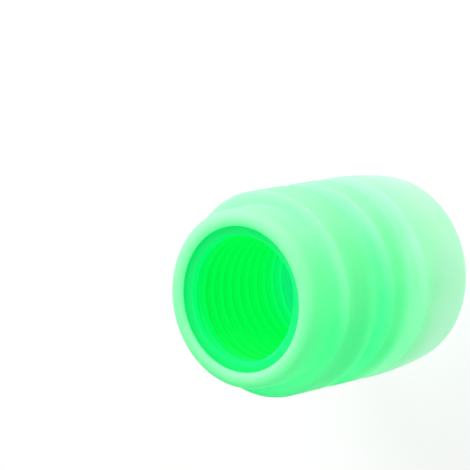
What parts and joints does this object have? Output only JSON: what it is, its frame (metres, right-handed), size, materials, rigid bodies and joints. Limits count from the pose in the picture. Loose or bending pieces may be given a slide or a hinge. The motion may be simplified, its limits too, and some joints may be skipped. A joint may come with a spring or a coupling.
{
  "type": "tyre valve cap",
  "caption": "Screw-on tyre valve cap in luminous green plastic: a round barrel with a flat crown, ring grooves for grip, a stepped lip and a blind threaded bore.",
  "frame": {"origin": "centre of the flat crown face, on which the cap stands with its mouth upwards", "axes": "+Z along the bore's axis and out of the mouth; the cap is round about Z, so X and Y are free"},
  "size_m": [0.012, 0.012, 0.015],
  "materials": {
    "luminous_plastic": "satin moulded, slightly translucent, glows green in the dark"
  },
  "bodies": {
    "root": {"valve_cap": "luminous_plastic"}
  },
  "joints": []
}
